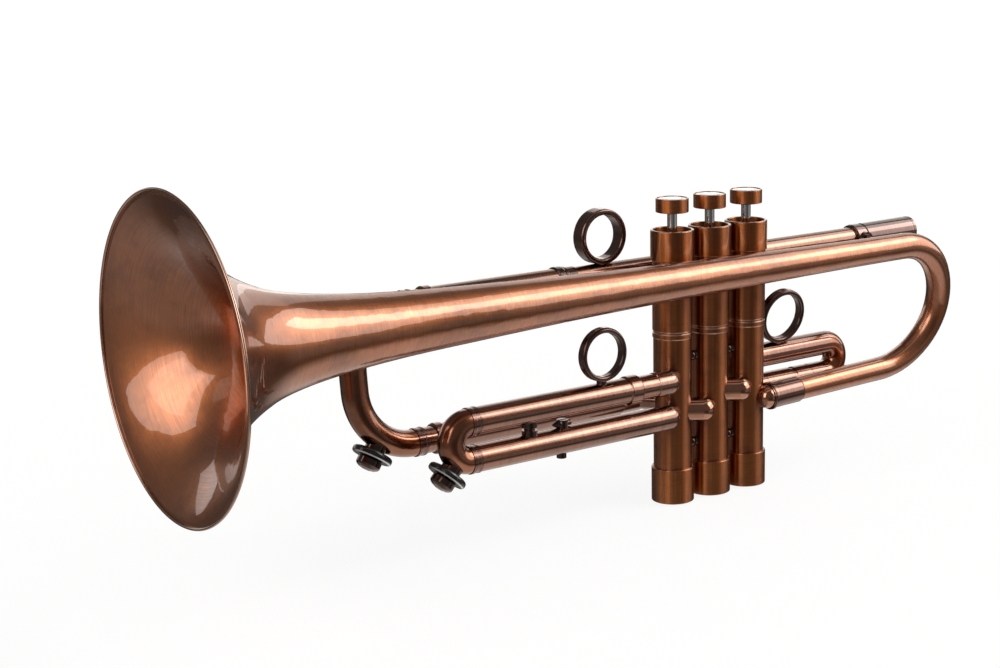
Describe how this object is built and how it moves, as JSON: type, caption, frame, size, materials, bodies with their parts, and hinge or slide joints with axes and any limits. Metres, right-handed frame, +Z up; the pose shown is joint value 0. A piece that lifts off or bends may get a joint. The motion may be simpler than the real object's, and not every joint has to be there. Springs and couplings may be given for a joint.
{
  "type": "piston trumpet",
  "caption": "Trumpet with piston valves, flared bell, leadpipe, tuning slides with finger rings and water keys, in brushed antique copper lacquer.",
  "frame": {"origin": "on the axis of the middle valve, at the height of the lower faces of the bottom caps", "axes": "+X along the horn towards the player, bell towards -X; +Z up along the valves; -Y towards the bell side, the player's left"},
  "size_m": [0.4536, 0.133, 0.1809],
  "materials": {
    "casing_copper": "brushed antique copper under gloss lacquer",
    "cap_copper": "brushed antique copper under gloss lacquer",
    "button_copper": "brushed antique copper under gloss lacquer",
    "bell_copper": "brushed antique copper under gloss lacquer",
    "edge_copper": "lacquered copper, worn light on the edge",
    "tube_copper": "antique copper under gloss lacquer",
    "ring_copper": "dark antique copper, glossy",
    "dark_copper": "dark antique copper, glossy",
    "felt": "black felt",
    "guide_brass": "turned",
    "piston_nickel": "lapped nickel alloy",
    "stem_chrome": "bright chrome",
    "spring_steel": "spring wire",
    "pearl": "polished mother-of-pearl",
    "key_black": "black with a bright outer edge",
    "key_dark": "very dark lacquered copper"
  },
  "bodies": {
    "horn": {"valve_casing_1": "casing_copper", "valve_casing_2": "casing_copper", "valve_casing_3": "casing_copper", "top_valve_caps": "cap_copper", "bottom_valve_caps": "cap_copper", "cup_felts": "felt", "valve_guides": "guide_brass", "crossover_knuckles": "tube_copper", "casing_struts": "dark_copper", "bell": "bell_copper", "bell_rim_wire": "edge_copper", "bell_ferrule": "dark_copper", "exit_elbow": "tube_copper", "leadpipe": "tube_copper", "mouthpiece_receiver": "tube_copper", "main_sleeve_upper": "tube_copper", "leadpipe_collar": "dark_copper", "main_sleeve_lower": "tube_copper", "third_slide_inner_tube": "tube_copper", "third_slide_outer_tube": "tube_copper", "little_finger_ring": "ring_copper", "third_slide_stop_screw": "dark_copper", "first_slide_inner_tube": "tube_copper", "first_slide_outer_tube": "tube_copper", "second_slide_outer_tubes": "tube_copper", "bell_braces": "dark_copper"},
    "valve_1": {"piston_1": "piston_nickel", "valve_stem_1": "stem_chrome", "finger_button_1": "button_copper", "pearl_inlay_1": "pearl", "valve_spring_1": "spring_steel"},
    "valve_2": {"piston_2": "piston_nickel", "valve_stem_2": "stem_chrome", "finger_button_2": "button_copper", "pearl_inlay_2": "pearl", "valve_spring_2": "spring_steel"},
    "valve_3": {"piston_3": "piston_nickel", "valve_stem_3": "stem_chrome", "finger_button_3": "button_copper", "pearl_inlay_3": "pearl", "valve_spring_3": "spring_steel"},
    "main_slide": {"main_crook": "tube_copper", "main_slide_legs": "tube_copper", "main_slide_ferrules": "dark_copper", "water_key_seat_main": "key_dark"},
    "main_water_key": {"water_key_ring_main": "key_black"},
    "third_slide": {"third_slide_crook": "tube_copper", "third_slide_sleeve": "tube_copper", "third_slide_leg": "tube_copper", "third_slide_ferrules": "dark_copper", "third_slide_ring": "ring_copper", "third_slide_brace": "dark_copper", "water_key_seat_third": "key_dark"},
    "third_water_key": {"water_key_ring_third": "key_black"},
    "first_slide": {"first_slide_crook": "tube_copper", "first_slide_tubes": "tube_copper", "first_slide_ring": "ring_copper"},
    "second_slide": {"second_slide_crook": "tube_copper", "second_slide_legs": "tube_copper", "second_slide_knob": "dark_copper"}
  },
  "joints": [
    {"name": "valve_1_stroke", "type": "slide", "parent": "horn", "child": "valve_1", "axis": [0, 0, -1], "range_m": [0, 0.0165], "stiffness_N_per_m": 150, "springref_m": -0.012, "deforming": ["valve_spring_1"]},
    {"name": "valve_2_stroke", "type": "slide", "parent": "horn", "child": "valve_2", "axis": [0, 0, -1], "range_m": [0, 0.0165], "stiffness_N_per_m": 150, "springref_m": -0.012, "deforming": ["valve_spring_2"]},
    {"name": "valve_3_stroke", "type": "slide", "parent": "horn", "child": "valve_3", "axis": [0, 0, -1], "range_m": [0, 0.0165], "stiffness_N_per_m": 150, "springref_m": -0.012, "deforming": ["valve_spring_3"]},
    {"name": "main_slide_pull", "type": "slide", "parent": "horn", "child": "main_slide", "axis": [-1, 0, 0], "range_m": [0, 0.045]},
    {"name": "third_slide_pull", "type": "slide", "parent": "horn", "child": "third_slide", "axis": [-1, 0, 0], "range_m": [0, 0.022]},
    {"name": "first_slide_pull", "type": "slide", "parent": "horn", "child": "first_slide", "axis": [1, 0, 0], "range_m": [0, 0.014]},
    {"name": "second_slide_pull", "type": "slide", "parent": "horn", "child": "second_slide", "axis": [0.5, 0.866, 0], "range_m": [0, 0.006]},
    {"name": "main_water_key_push", "type": "slide", "parent": "main_slide", "child": "main_water_key", "axis": [-0.0527, 0.9957, -0.0762], "range_m": [-0.001, 0.001], "stiffness_N_per_m": 800},
    {"name": "third_water_key_push", "type": "slide", "parent": "third_slide", "child": "third_water_key", "axis": [0, 1, 0], "range_m": [-0.001, 0.001], "stiffness_N_per_m": 800}
  ]
}
